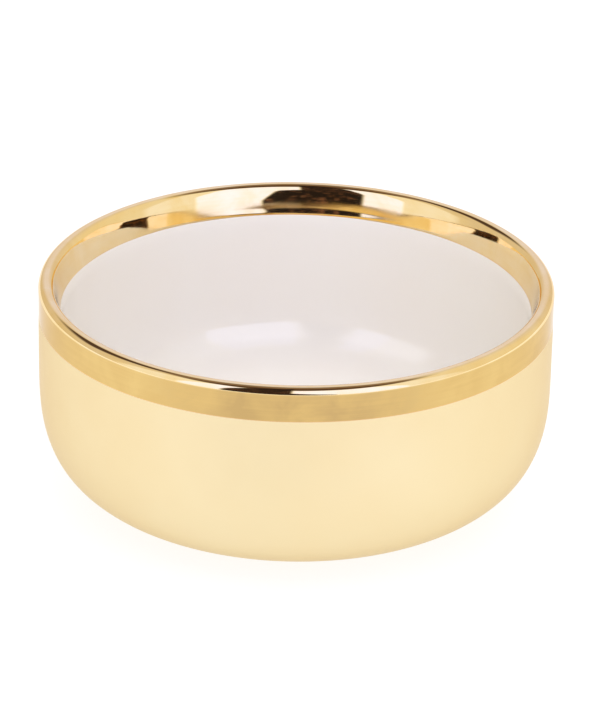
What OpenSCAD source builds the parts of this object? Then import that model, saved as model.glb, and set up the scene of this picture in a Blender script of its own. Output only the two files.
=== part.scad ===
// Round serving bowl: a porcelain body under a white glaze, with a bright gold band
// over the lip and a pale gold coat on the outside. Millimetres, +Z up.
// The origin is the centre of the foot ring's bearing face, on the table.

/* [Overall size] */
// Outside diameter of the straight wall
bowl_d = 150; // [144:1:156]
// Height of the top of the lip above the table
bowl_h = 67; // [65:0.5:70]
// Thickness of the rounded lip
lip_t = 4.5; // [4:0.1:5]

/* [Outside shape] */
// Height of the straight wall, from the centre of the lip down to the belly
straight_h = 23.25; // [18:0.25:28]
// Width of the belly's curve, measured in from the wall
belly_w = 45; // [42:0.5:48]
// Squareness of the belly's curve, where 2 is a plain ellipse
belly_power = 3.1; // [2.8:0.1:3.6]
// Gap between the flattest part of the belly and the table
belly_gap = 1.75; // [1.7:0.05:2]

/* [Inside shape] */
// Angle of the bevel inside the rim, from vertical
bevel_angle = 14; // [11:0.5:16]
// Depth of the bevel below the centre of the lip
bevel_h = 5.9; // [4:0.1:9]
// Height over which the bevel turns into the inside wall
bevel_blend_h = 5; // [3:0.5:8]
// Thickness of the floor at its centre
floor_t = 5.5; // [4.5:0.1:7]
// Squareness of the inside's curve, where 2 is a plain ellipse
inside_power = 4.6; // [4:0.1:5]

/* [Foot ring] */
// Radius at which the belly turns down into the foot ring
foot_turn_r = 44.6; // [42:0.1:47]
// Radius of the hollow between the belly and the foot ring
foot_fillet = 1.1; // [0.8:0.1:1.2]
// Width of the foot ring
foot_w = 5.2; // [4:0.1:7]
// Rounding of the foot ring's lower edges
foot_edge = 0.6; // [0.5:0.05:0.65]
// Height of the recess inside the foot ring
recess_h = 2.2; // [1.9:0.1:3]

/* [Finish layers] */
// Thickness of the white glaze
glaze_t = 0.3; // [0.2:0.05:0.35]
// Thickness of the gold layers
gold_t = 0.15; // [0.1:0.01:0.2]
// Depth of the gold band on the outside wall, below the centre of the lip
band_h = 7.8; // [6:0.1:12]
// How far the gold band runs past the bevel inside, in degrees of the arc that ends the bevel
band_past_bevel = 2.5; // [1:0.25:6]
// Angle round the foot's lower edge at which the glaze stops
glaze_stop = 30; // [10:5:45]

/* [Hidden] */

turn_steps = 180;
lip_steps = 10;
curve_steps = 48;
inside_steps = 64;
edge_steps = 6;

wall_r = bowl_d / 2;
lip_r = lip_t / 2;
lip_centre = [wall_r - lip_r, bowl_h - lip_r];
bevel_normal = 180 - bevel_angle;

// Belly: a quarter of a superellipse below the straight wall
belly_centre = [wall_r - belly_w, lip_centre.y - straight_h];
belly_h = belly_centre.y - belly_gap;
belly_end = acos(pow((foot_turn_r - belly_centre.x) / belly_w, belly_power / 2));

// Inside: bevel, a wide arc that turns it upright, and half of a superellipse
bevel_bottom_z = lip_centre.y - bevel_h;
bevel_bottom_r = lip_centre.x - lip_r * cos(bevel_angle)
    - (bevel_h + lip_r * sin(bevel_angle)) * tan(bevel_angle);
blend_r = bevel_blend_h / sin(bevel_angle);
blend_centre = [bevel_bottom_r + blend_r * cos(bevel_angle), bevel_bottom_z - bevel_blend_h];
inside_r = blend_centre.x - blend_r;
inside_h = blend_centre.y - recess_h - floor_t;

// An outline is a list of [r, z, nr, nz]: a point and the unit vector out of the body there.

// Circular arc from one angle to another; side is 1 for a rounded edge and -1 for a hollow
function arc(centre, radius, from, to, steps, side = 1) = [
    for (i = [0 : steps])
        let (a = from + (to - from) * i / steps)
        [centre.x + radius * cos(a), centre.y + radius * sin(a), side * cos(a), side * sin(a)]
];

// Superellipse below its centre, from the wall at angle 0 towards the bottom at angle 90
function bowl_curve(centre, w, h, power, from, to, steps, side) = [
    for (i = [0 : steps])
        let (
            a = from + (to - from) * i / steps,
            across = pow(cos(a), 2 / power),
            down = pow(sin(a), 2 / power),
            slope = [pow(across, power - 1) / w, -pow(down, power - 1) / h],
            n = side * slope / norm(slope)
        )
        [centre.x + w * across, centre.y - h * down, n.x, n.y]
];

// An outline's points, sunk into the body by a depth
function sunk(outline, depth) = [for (p = outline) [p[0] - depth * p[2], p[1] - depth * p[3]]];

function reversed(list) = [for (i = [len(list) - 1 : -1 : 0]) list[i]];

function last(list) = list[len(list) - 1];

function without_first(list) = [for (i = [1 : len(list) - 1]) list[i]];

function without_last(list) = [for (i = [0 : len(list) - 2]) list[i]];

// The outside, from the gold band's lower edge down to the foot
belly = bowl_curve(belly_centre, belly_w, belly_h, belly_power, 0, belly_end, curve_steps, 1);
belly_foot = last(belly);
fillet_centre = [
    belly_foot[0] + foot_fillet * belly_foot[2],
    belly_foot[1] + foot_fillet * belly_foot[3]
];
foot_r = fillet_centre.x - foot_fillet;
fillet_from = 90 + atan2(belly_foot[2], -belly_foot[3]);
foot_hollow = arc(fillet_centre, foot_fillet, fillet_from, 180, edge_steps, -1);
outer_edge_centre = [foot_r - foot_edge, foot_edge];
foot_glazed_edge = arc(outer_edge_centre, foot_edge, 0, -glaze_stop, edge_steps);
foot_bare_edge = arc(outer_edge_centre, foot_edge, -glaze_stop, -90, edge_steps);
band_edge = [wall_r, lip_centre.y - band_h, 1, 0];
coat_outline = concat([band_edge], belly, foot_hollow, foot_glazed_edge);

// The lip, from the band's outer edge over the top to its inner edge
lip_outside = arc(lip_centre, lip_r, 0, 90, lip_steps);
lip_inside = arc(lip_centre, lip_r, 90, bevel_normal, lip_steps);
band_stop = bevel_normal + band_past_bevel;
bevel_gold = arc(blend_centre, blend_r, bevel_normal, band_stop, edge_steps);
band_outline = concat([band_edge], lip_outside, without_first(lip_inside), bevel_gold);

// The inside, from the band's inner edge down to the middle of the floor
bevel_blend = arc(blend_centre, blend_r, band_stop, 180, edge_steps);
inside_curve = bowl_curve([0, blend_centre.y], inside_r, inside_h, inside_power, 0, 90, inside_steps, -1);
inside_outline = concat(bevel_blend, without_first(inside_curve));

// The recess inside the foot ring, from its inner edge to the middle
recess_r = foot_r - foot_w;
inner_edge_centre = [recess_r + foot_edge, foot_edge];
recess_bare_edge = arc(inner_edge_centre, foot_edge, -90, -180 + glaze_stop, edge_steps);
recess_glazed_edge = arc(inner_edge_centre, foot_edge, -180 + glaze_stop, -180, edge_steps);
recess_hollow_centre = [recess_r - foot_fillet, recess_h - foot_fillet];
recess_hollow = arc(recess_hollow_centre, foot_fillet, 0, 90, edge_steps, -1);
recess_outline = concat(recess_glazed_edge, recess_hollow, [[0, recess_h, 0, -1]]);

// The whole glazed skin, from the foot up, over the lip and down to the middle of the floor
skin_outline = concat(
    reversed(without_first(coat_outline)),
    without_last(band_outline),
    inside_outline
);

// A layer between two depths under an outline, turned round the bowl's axis
module layer(outline, top, bottom) {
    rotate_extrude($fn = turn_steps)
        polygon(concat(sunk(outline, top), reversed(sunk(outline, bottom))));
}

module porcelain_body() {
    color([0.90, 0.87, 0.82])
        rotate_extrude($fn = turn_steps)
            polygon(concat(
                sunk(skin_outline, gold_t + glaze_t),
                sunk(reversed(recess_outline), glaze_t),
                sunk(reversed(recess_bare_edge), 0),
                sunk(reversed(foot_bare_edge), 0)
            ));
}

module white_glaze() {
    color([0.93, 0.91, 0.89])
        layer(skin_outline, gold_t, gold_t + glaze_t);
}

module recess_glaze() {
    color([0.95, 0.93, 0.91])
        layer(recess_outline, 0, glaze_t);
}

module rim_gold_band() {
    color([0.83, 0.66, 0.40])
        layer(band_outline, 0, gold_t);
}

module outer_gold_coat() {
    color([0.98, 0.90, 0.72])
        layer(coat_outline, 0, gold_t);
}

porcelain_body();
white_glaze();
recess_glaze();
rim_gold_band();
outer_gold_coat();
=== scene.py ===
import math
import random

import bmesh
import bpy
from bpy.props import FloatProperty, FloatVectorProperty, IntProperty, PointerProperty
from mathutils import Matrix, Vector


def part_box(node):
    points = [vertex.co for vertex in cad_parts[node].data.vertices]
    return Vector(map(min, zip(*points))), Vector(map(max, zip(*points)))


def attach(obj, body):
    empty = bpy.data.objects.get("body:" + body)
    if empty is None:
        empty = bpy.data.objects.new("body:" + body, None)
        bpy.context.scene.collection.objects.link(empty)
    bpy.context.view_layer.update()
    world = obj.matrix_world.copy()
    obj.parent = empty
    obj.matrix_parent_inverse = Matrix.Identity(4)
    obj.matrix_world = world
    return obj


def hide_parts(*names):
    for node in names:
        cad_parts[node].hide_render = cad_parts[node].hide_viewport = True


bl_info = {
    "name": "Porcelain serving bowl",
    "version": (1, 0, 0),
    "blender": (4, 5, 0),
    "location": "3D View > Sidebar > Bowl",
    "description": "Builds a glazed porcelain bowl with a bright gold band and a pale gold coat",
    "category": "Add Mesh",
}

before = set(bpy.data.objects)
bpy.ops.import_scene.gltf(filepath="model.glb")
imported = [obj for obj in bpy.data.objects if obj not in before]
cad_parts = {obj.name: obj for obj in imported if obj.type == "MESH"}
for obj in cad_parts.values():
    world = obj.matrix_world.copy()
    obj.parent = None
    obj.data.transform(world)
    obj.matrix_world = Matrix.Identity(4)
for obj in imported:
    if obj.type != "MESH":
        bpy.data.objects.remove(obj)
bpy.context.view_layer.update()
MM = 0.001
BODY = "root"
BAND_LOW, BAND_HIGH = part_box("rim_gold_band")
BOWL_RADIUS = BAND_HIGH.x
BOWL_HEIGHT = BAND_HIGH.z
BAND_EDGE_Z = BAND_LOW.z


# Properties: the sizes and colours that a maker would change


def length(name, description, default):
    """A size in metres."""
    return FloatProperty(name=name, description=description, default=default, unit="LENGTH", precision=5)


def angle(name, description, degrees):
    """An angle, kept in radians."""
    return FloatProperty(name=name, description=description, default=math.radians(degrees), subtype="ANGLE")


def plain(name, description, default):
    """A number without a unit."""
    return FloatProperty(name=name, description=description, default=default)


def colour(name, description, default):
    """A linear RGB colour."""
    return FloatVectorProperty(
        name=name, description=description, default=default, subtype="COLOR", size=3, min=0.0, max=1.0
    )


class BowlShape(bpy.types.PropertyGroup):
    """Sizes of the turned profile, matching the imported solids."""

    lip: length("Lip", "Thickness of the rounded lip", 4.5 * MM)
    straight: length("Straight wall", "Height from the lip's centre down to the belly", 23.25 * MM)
    belly_width: length("Belly width", "Width of the belly's curve, in from the wall", 45 * MM)
    belly_gap: length("Belly gap", "Gap between the belly's flattest part and the table", 1.75 * MM)
    belly_power: plain("Belly power", "Squareness of the belly's curve", 3.1)
    bevel_angle: angle("Bevel", "Angle of the bevel inside the rim, from vertical", 14.0)
    bevel: length("Bevel depth", "Depth of the bevel below the lip's centre", 5.9 * MM)
    blend: length("Bevel blend", "Height over which the bevel turns into the wall", 5 * MM)
    band_past_bevel: angle("Band past bevel", "How far the gold runs round the arc under the bevel", 2.5)
    floor: length("Floor", "Thickness of the floor at its centre", 5.5 * MM)
    inside_power: plain("Inside power", "Squareness of the inside's curve", 4.6)
    foot_turn: length("Foot turn", "Radius at which the belly turns down into the foot", 44.6 * MM)
    fillet: length("Foot hollow", "Radius of the hollow above the foot ring", 1.1 * MM)
    foot_width: length("Foot width", "Width of the foot ring", 5.2 * MM)
    foot_edge: length("Foot edge", "Rounding of the foot ring's lower edges", 0.6 * MM)
    recess: length("Recess", "Height of the recess inside the foot ring", 2.2 * MM)
    glaze_stop: angle("Glaze stop", "Angle round the foot's lower edge at which the glaze stops", 30)
    glaze: length("Glaze", "Depth of the body's surface under the glazed skin", 0.45 * MM)
    pool: length("Recess glaze", "Thickness of the glaze inside the foot ring", 0.3 * MM)
    film: length("Film", "Thickness of the gold that is drawn", 0.02 * MM)
    segments: IntProperty(name="Segments", description="Steps round the bowl", default=288, min=96)


class BowlFinish(bpy.types.PropertyGroup):
    """Colours and handwork of the finishes."""

    glaze: colour("White glaze", "Colour of the white glaze", (0.838, 0.813, 0.76))
    glaze_warm: colour("Glaze, warm", "Colour of the glaze where it lies thin", (0.835, 0.80, 0.74))
    pinhole: colour("Pinhole", "Colour in the recess glaze's pinholes", (0.55, 0.47, 0.38))
    bisque: colour("Bisque", "Colour of the bare fired porcelain", (0.80, 0.74, 0.65))
    stain: colour("Kiln stain", "Colour of the stains on the bare porcelain", (0.55, 0.49, 0.42))
    rub: colour("Rub marks", "Colour of the rub marks on the bare porcelain", (0.42, 0.40, 0.38))
    gold: colour("Bright gold", "Colour of the gold over the lip and inside", (0.96, 0.80, 0.50))
    gold_deep: colour("Deep gold", "Colour of the gold's mottle over the lip and inside", (0.93, 0.72, 0.36))
    # Painted shade: the outside gold and its mottle are darker than the gold inside, standing in for the
    # darker surroundings that the outward-facing band reflects.
    outside_gold_painted_shade: colour("Outside gold", "Colour of the gold on the outside of the band", (0.76, 0.54, 0.21))
    outside_mottle_and_painted_shade: colour("Deep outside gold", "Colour of the outside gold's mottle", (0.70, 0.48, 0.18))
    # Painted shade: the front gold darkens the outside of the band at the front, standing in for the dark
    # reflection of the space in front of the bowl.
    front_gold_painted_shade: colour("Front gold", "Colour of the outside gold at the front", (0.57, 0.385, 0.155))
    gold_fringe: colour("Gold fringe", "Colour of the thin gold at the band's edges", (0.86, 0.52, 0.25))
    gold_edge: colour("Gold, grazing", "Colour of the gold where it turns away", (0.90, 0.84, 0.76))
    coat: colour("Pale gold", "Colour of the outside coat", (0.885, 0.745, 0.462))
    coat_edge: colour("Pale gold, grazing", "Colour of the coat where it turns away", (0.86, 0.78, 0.66))
    band_wave: length("Band wave", "How far the band's edges wander from a true circle", 0.08 * MM)
    ripple: length("Ripple", "Height of the faint turning ripples in the wall", 0.012 * MM)
    bevel_sway: angle("Bevel sway", "How much steeper the bevel is at its straightest spot", 1.5)
    bevel_crown: angle("Bevel crown", "How much the top of the bevel leans over towards the lip", 5.0)


class BowlStage(bpy.types.PropertyGroup):
    """Camera, lights and floor."""

    elevation: angle("Elevation", "Height of the camera above the rim's plane, as an angle", 24.0)
    roll: angle("Roll", "Tilt of the camera about its own axis", 1.0)
    distance: length("Distance", "From the camera to the middle of the rim", 16 * BOWL_RADIUS)
    lens: plain("Lens", "Focal length in millimetres", 208.0)
    aim_drop: angle("Aim", "How far below the rim's middle the camera aims", 0.989)
    aim_side: angle("Side aim", "How far to the left of the rim's middle the camera aims", 0.003)
    floor: colour("Floor", "Colour of the floor", (0.25, 0.25, 0.25))
    floor_glow: plain("Floor glow", "Light that the floor gives off", 0.81)


# Profile: outlines are lists of (r, z, nr, nz), a point and the unit vector out of the body


def arc(centre, radius, start, stop, steps, side=1):
    """Points of a circular arc; side is 1 for a rounded edge and -1 for a hollow."""
    points = []
    for i in range(steps + 1):
        a = start + (stop - start) * i / steps
        c, s = math.cos(a), math.sin(a)
        points.append((centre[0] + radius * c, centre[1] + radius * s, side * c, side * s))
    return points


def bowl_curve(centre, width, height, power, start, stop, steps, side):
    """Points of a superellipse below its centre, from the wall towards the bottom."""
    points = []
    for i in range(steps + 1):
        a = start + (stop - start) * i / steps
        across = max(math.cos(a), 0.0) ** (2 / power)
        down = math.sin(a) ** (2 / power)
        normal = Vector((across ** (power - 1) / width, -down ** (power - 1) / height)).normalized() * side
        points.append((centre[0] + width * across, centre[1] - height * down, normal.x, normal.y))
    return points


def line(start, stop, steps):
    """Points between two outline points that share a straight stretch, without the ends."""
    return [tuple(a + (b - a) * i / steps for a, b in zip(start, stop)) for i in range(1, steps)]


def smooth(value):
    """Eases a number from 0 to 1, and holds it there outside that range."""
    value = min(max(value, 0.0), 1.0)
    return value * value * (3 - 2 * value)


class Outline:
    """An outline that can be asked for the point at any distance along it."""

    def __init__(self, points):
        self.points = points
        self.stops = [0.0]
        for a, b in zip(points, points[1:]):
            self.stops.append(self.stops[-1] + math.hypot(b[0] - a[0], b[1] - a[1]))

    def at(self, distance):
        stops = self.stops
        distance = min(max(distance, 0.0), stops[-1])
        low, high = 0, len(stops) - 1
        while high - low > 1:
            middle = (low + high) // 2
            if stops[middle] <= distance:
                low = middle
            else:
                high = middle
        t = (distance - stops[low]) / ((stops[high] - stops[low]) or 1.0)
        return [a + (b - a) * t for a, b in zip(self.points[low], self.points[high])]


class Profile:
    """The bowl's turned profile, cut into the stretches that carry each finish."""

    def __init__(self, shape):
        lip_r = shape.lip / 2
        lip_z = BOWL_HEIGHT - lip_r
        lip_x = BOWL_RADIUS - lip_r
        bevel = shape.bevel_angle
        bevel_normal = math.pi - bevel
        bevel_x = lip_x - lip_r * math.cos(bevel) - (shape.bevel + lip_r * math.sin(bevel)) * math.tan(bevel)
        blend_r = shape.blend / math.sin(bevel)
        blend = (bevel_x + blend_r * math.cos(bevel), lip_z - shape.bevel - shape.blend)
        inside_r = blend[0] - blend_r
        inside_h = blend[1] - shape.recess - shape.floor
        band_stop = bevel_normal + shape.band_past_bevel

        belly = (BOWL_RADIUS - shape.belly_width, lip_z - shape.straight)
        belly_h = belly[1] - shape.belly_gap
        belly_end = math.acos(((shape.foot_turn - belly[0]) / shape.belly_width) ** (shape.belly_power / 2))
        belly_curve = bowl_curve(belly, shape.belly_width, belly_h, shape.belly_power, 0, belly_end, 72, 1)
        foot = belly_curve[-1]
        hollow = (foot[0] + shape.fillet * foot[2], foot[1] + shape.fillet * foot[3])
        hollow_start = math.pi / 2 + math.atan2(foot[2], -foot[3])
        self.foot_r = hollow[0] - shape.fillet
        outer_edge = (self.foot_r - shape.foot_edge, shape.foot_edge)
        inner_edge = (self.foot_r - shape.foot_width + shape.foot_edge, shape.foot_edge)
        recess = (self.foot_r - shape.foot_width - shape.fillet, shape.recess - shape.fillet)
        stop = shape.glaze_stop

        band_edge = (BOWL_RADIUS, BAND_EDGE_Z, 1.0, 0.0)
        coat = belly_curve + arc(hollow, shape.fillet, hollow_start, math.pi, 12, -1)[1:]
        coat += arc(outer_edge, shape.foot_edge, 0, -stop, 6)
        coat = [band_edge] + line(band_edge, coat[0], 12) + coat
        self.coat = coat[::-1]

        lip = arc((lip_x, lip_z), lip_r, 0, bevel_normal, 64)
        gold_blend = arc(blend, blend_r, bevel_normal, band_stop, 8)
        to_lip = [band_edge] + line(band_edge, lip[0], 24) + lip
        self.band = to_lip + line(lip[-1], gold_blend[0], 18) + gold_blend

        inside = arc(blend, blend_r, band_stop, math.pi, 14)
        curve = bowl_curve((0, blend[1]), inside_r, inside_h, shape.inside_power, 0, math.pi / 2, 96, -1)
        inside += line(inside[-1], curve[1], 6) + curve[1:]
        self.skin = self.coat + self.band[1:] + inside[1:]

        coat_length = Outline(self.coat).stops[-1]
        self.starts = {"skin": 0.0, "coat": 0.0, "band": coat_length}
        self.lip_end = coat_length + Outline(to_lip).stops[-1]

        self.outer_bare = arc(outer_edge, shape.foot_edge, -stop, -math.pi / 2, 8)
        self.inner_bare = arc(inner_edge, shape.foot_edge, -math.pi / 2, -math.pi + stop, 8)
        self.bearing = line(self.outer_bare[-1], self.inner_bare[0], 6)
        recess_rise = arc(inner_edge, shape.foot_edge, -math.pi + stop, -math.pi, 6)
        recess_hollow = arc(recess, shape.fillet, 0, math.pi / 2, 12, -1)
        centre = (0.0, shape.recess, 0.0, -1.0)
        self.recess = recess_rise + recess_hollow + line(recess_hollow[-1], centre, 16) + [centre]


def sunk(outline, depth):
    """An outline moved into the body by a depth, normals kept."""
    return [(r - depth * nr, z - depth * nz, nr, nz) for r, z, nr, nz in outline]


# Handwork: small, repeatable departures from a true turned shape


def waves(seed, low, high, count):
    """A sum of sines round the bowl, of unit height, as a function of the angle."""
    rng = random.Random(seed)
    terms = [(rng.randint(low, high), rng.uniform(0, math.tau), rng.uniform(0.4, 1.0)) for _ in range(count)]
    total = sum(weight for _, _, weight in terms)
    return lambda phi: sum(w * math.sin(k * phi + p) for k, p, w in terms) / total


# Each ripple is a wave round the bowl and its pitch down the profile, in radians a metre
RIPPLE_WAVES = [(waves(20 + i, 5, 24, 5), 90.0 + 70.0 * i) for i in range(4)]
OUTER_EDGE_WAVE = waves(7, 2, 17, 6)
INNER_EDGE_WAVE = waves(8, 2, 19, 6)
EDGE_FADE = 4 * MM
CALM_RADIUS = 20 * MM

# The bevel's steepest spot, in degrees round the bowl, and its lengths down from the lip's arc
BEVEL_SPOT = 86.0
BEVEL_SPOT_SPAN = 19.0
BEVEL_LEAD = 0.8 * MM
BEVEL_LENGTH = 6.5 * MM
BEVEL_FADE = 14 * MM
CROWN_LENGTH = 4 * MM


def ripple(phi, along):
    """Faint turning ripple at an angle and a distance along the profile, of about unit height."""
    return sum(wave(phi) * math.sin(pitch * along + i) for i, (wave, pitch) in enumerate(RIPPLE_WAVES))


def bevel_lift(finish, past_lip, phi):
    """How far the inside stands proud of the turned shape, at a distance down from the lip's arc."""
    turn = (math.degrees(phi) - BEVEL_SPOT + 180) % 360 - 180
    sway = -finish.bevel_sway * math.exp(-((turn / BEVEL_SPOT_SPAN) ** 4))
    down = min(max(past_lip + BEVEL_LEAD, 0.0), BEVEL_LENGTH)
    curved = min(down, CROWN_LENGTH)
    crown = finish.bevel_crown * curved * (1 - curved / (2 * CROWN_LENGTH))
    ease = smooth(1 - (past_lip - BEVEL_LENGTH) / BEVEL_FADE)
    return (sway * down + crown) * ease


# Turned meshes

# A point nearer the axis than this lies on it
ON_AXIS = 1e-7


def turned(name, loop, place, segments, sharp=()):
    """A closed solid turned from a loop of outline entries; place gives (r, z) for an entry and an angle."""
    bm = bmesh.new()
    rings = []
    for entry in loop:
        r, z = place(entry, 0.0)
        if r < ON_AXIS:
            rings.append([bm.verts.new((0.0, 0.0, z))])
            continue
        ring = []
        for i in range(segments):
            phi = math.tau * i / segments
            r, z = place(entry, phi)
            ring.append(bm.verts.new((r * math.cos(phi), r * math.sin(phi), z)))
        rings.append(ring)
    pairs = list(zip(rings, rings[1:]))
    if len(rings[0]) > 1 and len(rings[-1]) > 1:
        pairs.append((rings[-1], rings[0]))
    for a, b in pairs:
        if len(a) == 1 and len(b) == 1:
            continue
        for i in range(segments):
            j = (i + 1) % segments
            corners = [a[0]] if len(a) == 1 else [a[i], a[j]]
            corners += [b[0]] if len(b) == 1 else [b[j], b[i]]
            bm.faces.new(corners).smooth = True
    for index in sharp:
        for i in range(segments):
            edge = bm.edges.get((rings[index][i], rings[index][(i + 1) % segments]))
            if edge:
                edge.smooth = False
    bmesh.ops.recalc_face_normals(bm, faces=bm.faces)
    mesh = bpy.data.meshes.new(name)
    bm.to_mesh(mesh)
    bm.free()
    piece = bpy.data.objects.new(name, mesh)
    bpy.context.scene.collection.objects.link(piece)
    return piece


def film(name, stretch, top, bottom, scene, start_wave=None, end_wave=None):
    """A closed layer along a stretch of the skin, between two depths, with edges that wander a little."""
    finish = scene.bowl_finish
    profile = Profile(scene.bowl_shape)
    outline = Outline(profile.skin)
    stops = [profile.starts[stretch] + s for s in Outline(getattr(profile, stretch)).stops]
    first, last = stops[0], stops[-1]
    entries = [(s, top) for s in stops] + [(s, bottom) for s in reversed(stops)]

    def place(entry, phi):
        along, depth = entry
        moved = along
        if start_wave:
            moved += finish.band_wave * start_wave(phi) * math.exp(-((along - first) / EDGE_FADE) ** 2)
        if end_wave:
            moved += finish.band_wave * end_wave(phi) * math.exp(-((along - last) / EDGE_FADE) ** 2)
        r, z, nr, nz = outline.at(moved)
        lift = finish.ripple * ripple(phi, moved) * min(1.0, r / CALM_RADIUS) - depth
        lift += bevel_lift(finish, moved - profile.lip_end, phi)
        return max(r + nr * lift, 0.0) if r > ON_AXIS else 0.0, z + nz * lift

    count = len(stops)
    ends = (0, count - 1, count, 2 * count - 1)
    sharp = [i for i in ends if place(entries[i], 0.0)[0] > ON_AXIS]
    return turned(name, entries, place, scene.bowl_shape.segments, sharp)


def plain_place(entry, phi):
    """Leaves an outline point where it is, the same all round."""
    return entry[0], entry[1]


def finish_piece(piece, nodes, material):
    """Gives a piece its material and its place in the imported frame."""
    finite = all(math.isfinite(v) for corner in piece.bound_box for v in corner)
    if not piece.data.polygons or not finite:
        raise RuntimeError(piece.name + " came out empty or broken")
    piece.data.materials.append(material)
    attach(piece, BODY)
    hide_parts(*nodes)


# Materials


class Nodes:
    """Short calls for building a node tree."""

    def __init__(self, owner):
        owner.use_nodes = True
        self.tree = owner.node_tree
        self.tree.nodes.clear()

    def add(self, kind, inputs=None, **settings):
        node = self.tree.nodes.new("ShaderNode" + kind)
        for key, value in settings.items():
            setattr(node, key, value)
        for key, value in (inputs or {}).items():
            self.feed(node.inputs[key], value)
        return node

    def feed(self, socket, value):
        if isinstance(value, bpy.types.NodeSocket):
            self.tree.links.new(value, socket)
        else:
            socket.default_value = value

    def math(self, operation, *values):
        node = self.add("Math", operation=operation)
        for socket, value in zip(node.inputs, values):
            self.feed(socket, value)
        return node.outputs[0]

    def mix(self, amount, a, b):
        node = self.add("Mix", data_type="RGBA")
        self.feed(node.inputs[0], amount)
        self.feed(node.inputs[6], a)
        self.feed(node.inputs[7], b)
        return node.outputs[2]

    def spread(self, value, low, high, to_low=0.0, to_high=1.0, style="LINEAR"):
        node = self.add("MapRange", {"Value": value}, interpolation_type=style)
        for socket, number in zip(node.inputs[1:5], (low, high, to_low, to_high)):
            socket.default_value = number
        return node.outputs[0]

    def noise(self, vector, scale, detail=3.0, roughness=0.5, distortion=0.0):
        node = self.add("TexNoise", {"Vector": vector, "Scale": scale})
        node.inputs["Detail"].default_value = detail
        node.inputs["Roughness"].default_value = roughness
        node.inputs["Distortion"].default_value = distortion
        return node.outputs["Fac"]

    def bump(self, height, distance):
        return self.add("Bump", {"Height": height, "Distance": distance, "Strength": 1.0}).outputs["Normal"]

    def parts(self, vector):
        """The x, y and z of a vector."""
        return self.add("SeparateXYZ", {"Vector": vector}).outputs

    def times(self, a, b):
        return self.math("MULTIPLY", a, b)

    def place(self):
        """Position in the bowl's own frame."""
        return self.add("TexCoord").outputs["Object"]

    def turned_place(self, position, round_scale, across_scale):
        """Coordinates that run slowly round the bowl and quickly across its profile, with no seam."""
        x, y, z = self.parts(position)
        radius = self.math("SQRT", self.math("ADD", self.times(x, x), self.times(y, y)))
        across = self.times(self.math("SUBTRACT", z, radius), across_scale)
        round_x = self.times(self.math("DIVIDE", x, radius), round_scale)
        round_y = self.times(self.math("DIVIDE", y, radius), round_scale)
        return self.add("CombineXYZ", {"X": round_x, "Y": round_y, "Z": across}).outputs[0]


class Finish(Nodes):
    """A material with one surface shader."""

    def __init__(self, name):
        self.material = bpy.data.materials.new(name)
        super().__init__(self.material)
        self.shader = self.add("BsdfPrincipled")
        output = self.add("OutputMaterial")
        self.feed(output.inputs["Surface"], self.shader.outputs["BSDF"])


def rgba(values):
    """A colour with its alpha, as a socket takes it."""
    return (*values, 1.0)


def glaze_material(name, finish, pinholes):
    """Glossy white glaze: faint pooling tint, orange peel and a few pinholes."""
    n = Finish(name)
    position = n.place()
    pooling = n.spread(n.noise(position, 26, 2), 0.35, 0.65)
    tint = n.mix(pooling, rgba(finish.glaze), rgba(finish.glaze_warm))
    specks = n.add("TexVoronoi", {"Vector": position, "Scale": 190.0, "Randomness": 1.0})
    holes = n.spread(specks.outputs["Distance"], 0.035, 0.075, pinholes, 0.0)
    n.feed(n.shader.inputs["Base Color"], n.mix(holes, tint, rgba(finish.pinhole)))
    n.feed(n.shader.inputs["Roughness"], n.spread(n.noise(position, 60, 2), 0.3, 0.7, 0.008, 0.02))
    n.shader.inputs["IOR"].default_value = 1.5
    n.shader.inputs["Specular IOR Level"].default_value = 0.55
    peel = n.noise(position, 330, 2, 0.4)
    sag = n.noise(position, 55, 1)
    height = n.math("SUBTRACT", n.math("MULTIPLY_ADD", sag, 3.0, peel), n.times(holes, 2.0))
    n.feed(n.shader.inputs["Normal"], n.bump(height, 0.0010 * MM))
    return n.material


def bisque_material(finish):
    """Bare fired porcelain, sanded flat: fine grit, faint kiln grey and rub marks."""
    n = Finish("bisque")
    position = n.place()
    grit = n.noise(position, 2600, 4, 0.7)
    stain = n.spread(n.noise(position, 120, 3, 0.6), 0.45, 0.75)
    rubs = n.spread(n.noise(n.turned_place(position, 3.0, 2400.0), 1.0, 3, 0.6), 0.55, 0.8)
    stained = n.mix(n.times(stain, 0.35), rgba(finish.bisque), rgba(finish.stain))
    n.feed(n.shader.inputs["Base Color"], n.mix(n.times(rubs, 0.3), stained, rgba(finish.rub)))
    n.feed(n.shader.inputs["Roughness"], n.spread(rubs, 0.0, 1.0, 0.9, 0.7))
    n.feed(n.shader.inputs["Normal"], n.bump(grit, 0.03 * MM))
    return n.material


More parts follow.
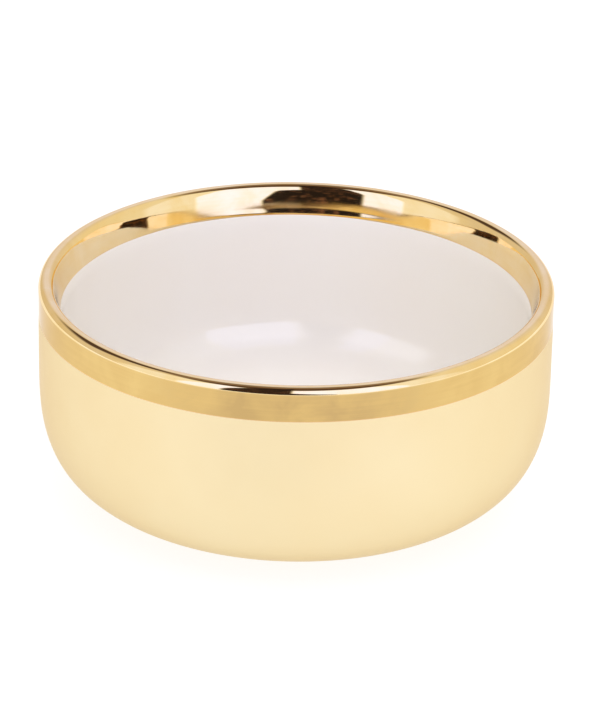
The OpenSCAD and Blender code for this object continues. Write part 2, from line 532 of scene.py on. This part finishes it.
def band_material(finish):
    """Mirror-bright gold put on by brush on a turning wheel, with painted shade: darker where the band faces
    outward, and darker still at its front.
    """
    n = Finish("bright_gold")
    position = n.place()
    x, y, _ = n.parts(position)
    normal_x, normal_y, _ = n.parts(n.add("NewGeometry").outputs["Normal"])
    outward = n.math("ADD", n.times(x, normal_x), n.times(y, normal_y))
    # Painted shade: where the band faces outward its gold, mottle included, is darkened to stand in for the
    # darker reflection it catches there.
    outside = n.spread(outward, 0.975 * BOWL_RADIUS, 0.998 * BOWL_RADIUS)
    streaks = n.noise(n.turned_place(position, 1.6, 900.0), 1.0, 4, 0.6)
    blotches = n.noise(position, 75, 3, 0.55, 0.6)
    warm = n.mix(outside, rgba(finish.gold), rgba(finish.outside_gold_painted_shade))
    # Painted shade: the outward gold is darker still at the front, a painted stand-in for the dark
    # reflection of the space in front of the bowl.
    front = n.spread(n.math("DIVIDE", y, BOWL_RADIUS), -0.8, -1.0, style="SMOOTHSTEP")
    warm = n.mix(n.times(front, outside), warm, rgba(finish.front_gold_painted_shade))
    deep = n.mix(outside, rgba(finish.gold_deep), rgba(finish.outside_mottle_and_painted_shade))
    mottle = n.spread(n.math("MULTIPLY_ADD", streaks, 0.35, blotches), 0.5, 0.85)
    gold = n.mix(mottle, warm, deep)
    edge = n.add("Attribute", attribute_name="edge_mm").outputs["Fac"]
    fringe = n.spread(edge, 0.05, 0.3, 0.5, 0.0)
    n.feed(n.shader.inputs["Base Color"], n.mix(fringe, gold, rgba(finish.gold_fringe)))
    n.shader.inputs["Metallic"].default_value = 1.0
    n.shader.inputs["Specular Tint"].default_value = rgba(finish.gold_edge)
    n.feed(n.shader.inputs["Roughness"], n.spread(mottle, 0.0, 1.0, 0.03, 0.07))
    height = n.math("MULTIPLY_ADD", n.noise(position, 210, 2), 1.2, streaks)
    n.feed(n.shader.inputs["Normal"], n.bump(height, 0.0011 * MM))
    return n.material


def coat_material(finish):
    """Pale gold coat: a soft, even metallic gloss with a fine pearl grain."""
    n = Finish("pale_gold")
    position = n.place()
    clouds = n.spread(n.noise(position, 32, 2, 0.5), 0.3, 0.7)
    deep = tuple(c * k for c, k in zip(finish.coat, (0.985, 0.965, 0.93)))
    n.feed(n.shader.inputs["Base Color"], n.mix(clouds, rgba(finish.coat), rgba(deep)))
    n.shader.inputs["Metallic"].default_value = 1.0
    n.shader.inputs["Specular Tint"].default_value = rgba(finish.coat_edge)
    grain = n.noise(position, 1500, 3, 0.6)
    n.feed(n.shader.inputs["Roughness"], n.spread(n.noise(position, 140, 3), 0.3, 0.7, 0.30, 0.36))
    n.feed(n.shader.inputs["Normal"], n.bump(grain, 0.0012 * MM))
    return n.material


def mark_edge(band, shape):
    """Writes each point's distance from the band's nearest edge, in millimetres, for the fringe."""
    stops = Outline(Profile(shape).band).stops
    values = []
    for stop in stops + stops[::-1]:
        values += [min(stop, stops[-1] - stop) / MM] * shape.segments
    attribute = band.data.attributes.new("edge_mm", "FLOAT", "POINT")
    attribute.data.foreach_set("value", values)


# Operators


class BOWL_OT_fire_body(bpy.types.Operator):
    """Turn the fired porcelain body with its foot ring"""

    bl_idname = "bowl.fire_body"
    bl_label = "Fire the body"

    def execute(self, context):
        shape = context.scene.bowl_shape
        profile = Profile(shape)
        loop = sunk(profile.skin, shape.glaze) + sunk(profile.recess[::-1], shape.pool)
        loop += profile.inner_bare[::-1] + profile.bearing[::-1] + profile.outer_bare[::-1]
        piece = turned("fired_body", loop, plain_place, shape.segments)
        finish_piece(piece, ["porcelain_body"], bisque_material(context.scene.bowl_finish))
        return {"FINISHED"}


class BOWL_OT_pour_glaze(bpy.types.Operator):
    """Pour the white glaze over the bowl and into the foot's recess"""

    bl_idname = "bowl.pour_glaze"
    bl_label = "Pour the glazes"

    def execute(self, context):
        shape, finish = context.scene.bowl_shape, context.scene.bowl_finish
        skin = film("glaze_skin", "skin", shape.film, shape.glaze, context.scene)
        finish_piece(skin, ["white_glaze"], glaze_material("white_glaze", finish, 0.0))
        recess = Profile(shape).recess
        loop = recess + sunk(recess[::-1], shape.pool)
        pool = turned("recess_pool", loop, plain_place, shape.segments, (0, len(loop) - 1))
        finish_piece(pool, ["recess_glaze"], glaze_material("recess_glaze", finish, 0.8))
        return {"FINISHED"}


class BOWL_OT_brush_band(bpy.types.Operator):
    """Brush the bright gold band over the lip"""

    bl_idname = "bowl.brush_band"
    bl_label = "Brush the gold band"

    def execute(self, context):
        shape, finish = context.scene.bowl_shape, context.scene.bowl_finish
        piece = film("gold_band", "band", 0.0, shape.film, context.scene, OUTER_EDGE_WAVE, INNER_EDGE_WAVE)
        mark_edge(piece, shape)
        finish_piece(piece, ["rim_gold_band"], band_material(finish))
        return {"FINISHED"}


class BOWL_OT_spray_coat(bpy.types.Operator):
    """Lay the pale gold coat on the outside"""

    bl_idname = "bowl.spray_coat"
    bl_label = "Lay the pale gold coat"

    def execute(self, context):
        shape, finish = context.scene.bowl_shape, context.scene.bowl_finish
        piece = film("gold_coat", "coat", shape.film / 2, shape.film, context.scene, None, OUTER_EDGE_WAVE)
        finish_piece(piece, ["outer_gold_coat"], coat_material(finish))
        return {"FINISHED"}


# Stage: azimuths are degrees from the camera's side, positive to the right, and elevations degrees up


def towards(azimuth, elevation):
    """Unit vector from the bowl at an azimuth and an elevation."""
    a, e = math.radians(azimuth), math.radians(elevation)
    return Vector((math.sin(a) * math.cos(e), -math.cos(a) * math.cos(e), math.sin(e)))


def softbox(name, azimuth, elevation, distance, width, height, strength, tint=(1.0, 1.0, 1.0)):
    """A rectangular area light that faces the bowl, unseen by the camera; its sizes are in metres."""
    lamp = bpy.data.lights.new(name, "AREA")
    lamp.shape = "RECTANGLE"
    lamp.size, lamp.size_y = width, height
    lamp.energy = strength * math.pi * width * height
    lamp.color = tint
    holder = bpy.data.objects.new(name, lamp)
    direction = towards(azimuth, elevation)
    holder.location = direction * distance
    holder.rotation_mode = "QUATERNION"
    holder.rotation_quaternion = direction.to_track_quat("Z", "Y")
    holder.visible_camera = False
    bpy.context.scene.collection.objects.link(holder)
    return holder


WALL = (0.90, 0.79, 0.57, 1.0)
LEFT_WALL = (0.76, 0.65, 0.50, 1.0)
BACK_WALL = (0.80, 0.71, 0.62, 1.0)
BACKDROP = (0.87, 0.83, 0.98, 1.0)
DUSKY_CORNER = (0.09, 0.055, 0.04, 1.0)
LAMP_SURROUND = (1.0, 0.95, 0.88, 1.0)
LAMP = (0.63, 0.665, 0.99, 1.0)
CEILING = (0.10, 0.055, 0.035, 1.0)
BACK_CEILING = (0.26, 0.18, 0.13, 1.0)
GAP_SHADE = (0.022, 0.015, 0.013, 1.0)
GAP_CLUTTER = (0.30, 0.14, 0.09, 1.0)
WHITE = (1.0, 1.0, 1.0, 1.0)
LEFT_LAMP_SPAN = (-51.0, -31.5)
RIGHT_LAMP_SPAN = (-10.0, 49.0)
LEFT_SURROUND_SPAN = (-80.0, -31.0)
RIGHT_SURROUND_SPAN = (-10.0, 76.0)
LAMP_HEIGHTS = (-12.0, 60.0)
DUSKY_SPAN = (-153.0, -111.0)


def stage_world():
    """A studio: pale walls, two lamps with a dark gap between them, and a dark ceiling."""
    world = bpy.data.worlds.new("studio")
    bpy.context.scene.world = world
    n = Nodes(world)
    direction = n.add("TexCoord").outputs["Generated"]
    x, y, z = n.parts(direction)
    azimuth = n.math("DEGREES", n.math("ARCTAN2", x, n.times(y, -1.0)))
    elevation = n.math("DEGREES", n.math("ARCSINE", z))
    behind = n.math("ABSOLUTE", azimuth)

    def window(value, span, soft):
        low, high = span
        rise = n.spread(value, low - soft, low + soft, style="SMOOTHSTEP")
        fall = n.spread(value, high - soft, high + soft, 1.0, 0.0, style="SMOOTHSTEP")
        return n.times(rise, fall)

    # Walls, with a pale backdrop behind the bowl and a dusky corner high on the left
    room = n.mix(n.spread(behind, 120.0, 150.0), WALL, BACK_WALL)
    room = n.mix(n.spread(azimuth, -74.0, -92.0), room, LEFT_WALL)
    room = n.mix(n.spread(behind, 154.0, 170.0), room, BACKDROP)
    dusk = n.times(window(azimuth, DUSKY_SPAN, 6.0), n.spread(elevation, 28.0, 37.0))
    room = n.mix(dusk, room, DUSKY_CORNER)

    # Two lamps and their surrounds; the right one's inner edge slants, wider at the top
    slant = n.spread(elevation, 3.0, 22.0, 17.0, -2.0)
    past_edge = n.math("SUBTRACT", azimuth, slant)
    inner_edge = n.spread(past_edge, 0.0, 2.0)
    lamp_heights = window(elevation, LAMP_HEIGHTS, 2.0)

    def pair(left_span, right_span, soft):
        right = n.times(inner_edge, window(azimuth, right_span, soft))
        return n.times(n.math("ADD", right, window(azimuth, left_span, soft)), lamp_heights)

    room = n.mix(pair(LEFT_SURROUND_SPAN, RIGHT_SURROUND_SPAN, 3.0), room, LAMP_SURROUND)
    lamps = pair(LEFT_LAMP_SPAN, RIGHT_LAMP_SPAN, 1.2)
    room = n.mix(lamps, room, LAMP)

    # The ceiling, then the gap between the lamps with a little clutter in it
    ceiling = n.mix(n.spread(behind, 85.0, 110.0), CEILING, BACK_CEILING)
    room = n.mix(n.spread(elevation, 57.0, 67.0, style="SMOOTHSTEP"), room, ceiling)
    layers = n.add("VectorMath", {0: direction, 1: (9.0, 9.0, 34.0)}, operation="MULTIPLY").outputs[0]
    clutter = n.spread(n.noise(layers, 1.0, 3, 0.6), 0.54, 0.74)
    right_of_left_lamp = n.spread(azimuth, -32.5, -30.0, style="SMOOTHSTEP")
    left_of_right_lamp = n.spread(past_edge, -0.5, 1.5, 1.0, 0.0, style="SMOOTHSTEP")
    gap = n.times(right_of_left_lamp, left_of_right_lamp)
    room = n.mix(gap, room, n.mix(clutter, GAP_SHADE, GAP_CLUTTER))

    # The lamps shine brighter than the walls, and the walls behind the bowl light it only half
    path = n.add("LightPath")
    back = n.times(n.spread(behind, 90.0, 140.0), path.outputs["Is Diffuse Ray"])
    strength = n.math("MULTIPLY_ADD", lamps, 0.85, n.math("MULTIPLY_ADD", back, -0.5, 1.0))
    walls = n.add("Background", {"Color": room, "Strength": strength})
    seen = n.add("Background", {"Color": WHITE})
    mixed = n.add("MixShader", {0: path.outputs["Is Camera Ray"], 1: walls.outputs[0], 2: seen.outputs[0]})
    n.feed(n.add("OutputWorld").inputs["Surface"], mixed.outputs[0])


FLOOR_HALF_WIDTH = 12.0


def stage_floor(stage):
    """A plain floor that also gives off a soft, even light."""
    bm = bmesh.new()
    bmesh.ops.create_grid(bm, x_segments=8, y_segments=8, size=FLOOR_HALF_WIDTH)
    mesh = bpy.data.meshes.new("floor")
    bm.to_mesh(mesh)
    bm.free()
    floor = bpy.data.objects.new("floor", mesh)
    bpy.context.scene.collection.objects.link(floor)
    n = Finish("floor")
    n.shader.inputs["Base Color"].default_value = rgba(stage.floor)
    n.shader.inputs["Roughness"].default_value = 0.6
    n.shader.inputs["Emission Color"].default_value = WHITE
    n.shader.inputs["Emission Strength"].default_value = stage.floor_glow
    floor.data.materials.append(n.material)


def stage_camera(stage, shape):
    """The camera, aimed a little below the rim's middle."""
    data = bpy.data.cameras.new("camera")
    data.lens = stage.lens
    data.sensor_width = 36.0
    data.clip_start, data.clip_end = 0.05, 60.0
    camera = bpy.data.objects.new("camera", data)
    rim = Vector((0.0, 0.0, BOWL_HEIGHT - shape.lip / 2))
    tilt = Matrix.Rotation(math.pi / 2 - stage.elevation - stage.aim_drop, 4, "X")
    turn = Matrix.Rotation(stage.aim_side, 4, "Z")
    roll = Matrix.Rotation(stage.roll, 4, "Z")
    place = rim + towards(0, math.degrees(stage.elevation)) * stage.distance
    camera.matrix_world = Matrix.Translation(place) @ turn @ tilt @ roll
    bpy.context.scene.collection.objects.link(camera)
    bpy.context.scene.camera = camera


class BOWL_OT_set_stage(bpy.types.Operator):
    """Set up the floor, the soft lights and the camera"""

    bl_idname = "bowl.set_stage"
    bl_label = "Set the stage"

    def execute(self, context):
        scene = context.scene
        skin = bpy.data.objects.get("glaze_skin")
        if skin is None:
            raise RuntimeError("pour the glaze before the stage is set")
        scene.view_settings.view_transform = "Standard"
        stage_world()
        stage_floor(scene.bowl_stage)
        glazed = bpy.data.collections.new("glazed")
        glazed.objects.link(skin)
        # The fills light without being mirrored, and the softboxes are only mirrored, in the glaze
        fill = softbox("overhead_fill", 0, 90, 1.6, 2.4, 2.4, 1.37)
        fill.visible_glossy = False
        front = softbox("front_fill", -14, 24, 1.9, 2.8, 1.0, 0.98, (1.0, 0.97, 0.86))
        front.visible_glossy = False
        front.light_linking.receiver_collection = glazed
        for name, azimuth, width in (("softbox_right", 23, 1.50), ("softbox_left", -54, 1.35)):
            box = softbox(name, azimuth, 33, 1.7, width, 1.05, 1.35, (0.88, 0.90, 1.0))
            box.visible_diffuse = False
            box.light_linking.receiver_collection = glazed
        stage_camera(scene.bowl_stage, scene.bowl_shape)
        return {"FINISHED"}


STEPS = (BOWL_OT_fire_body, BOWL_OT_pour_glaze, BOWL_OT_brush_band, BOWL_OT_spray_coat, BOWL_OT_set_stage)


class VIEW3D_PT_bowl(bpy.types.Panel):
    """Lists the making steps and the sizes."""

    bl_label = "Porcelain bowl"
    bl_idname = "VIEW3D_PT_bowl"
    bl_space_type = "VIEW_3D"
    bl_region_type = "UI"
    bl_category = "Bowl"

    def draw(self, context):
        column = self.layout.column(align=True)
        for step in STEPS:
            column.operator(step.bl_idname)
        for group in (context.scene.bowl_shape, context.scene.bowl_finish, context.scene.bowl_stage):
            box = self.layout.box()
            for name in group.__annotations__:
                box.prop(group, name)


GROUPS = {"bowl_shape": BowlShape, "bowl_finish": BowlFinish, "bowl_stage": BowlStage}
CLASSES = (*GROUPS.values(), *STEPS, VIEW3D_PT_bowl)


def register():
    for cls in CLASSES:
        bpy.utils.register_class(cls)
    for name, group in GROUPS.items():
        setattr(bpy.types.Scene, name, PointerProperty(type=group))


def unregister():
    for name in GROUPS:
        delattr(bpy.types.Scene, name)
    for cls in reversed(CLASSES):
        bpy.utils.unregister_class(cls)


def main():
    register()
    bpy.ops.bowl.fire_body()
    bpy.ops.bowl.pour_glaze()
    bpy.ops.bowl.brush_band()
    bpy.ops.bowl.spray_coat()
    bpy.ops.bowl.set_stage()


if __name__ == "__main__":
    main()
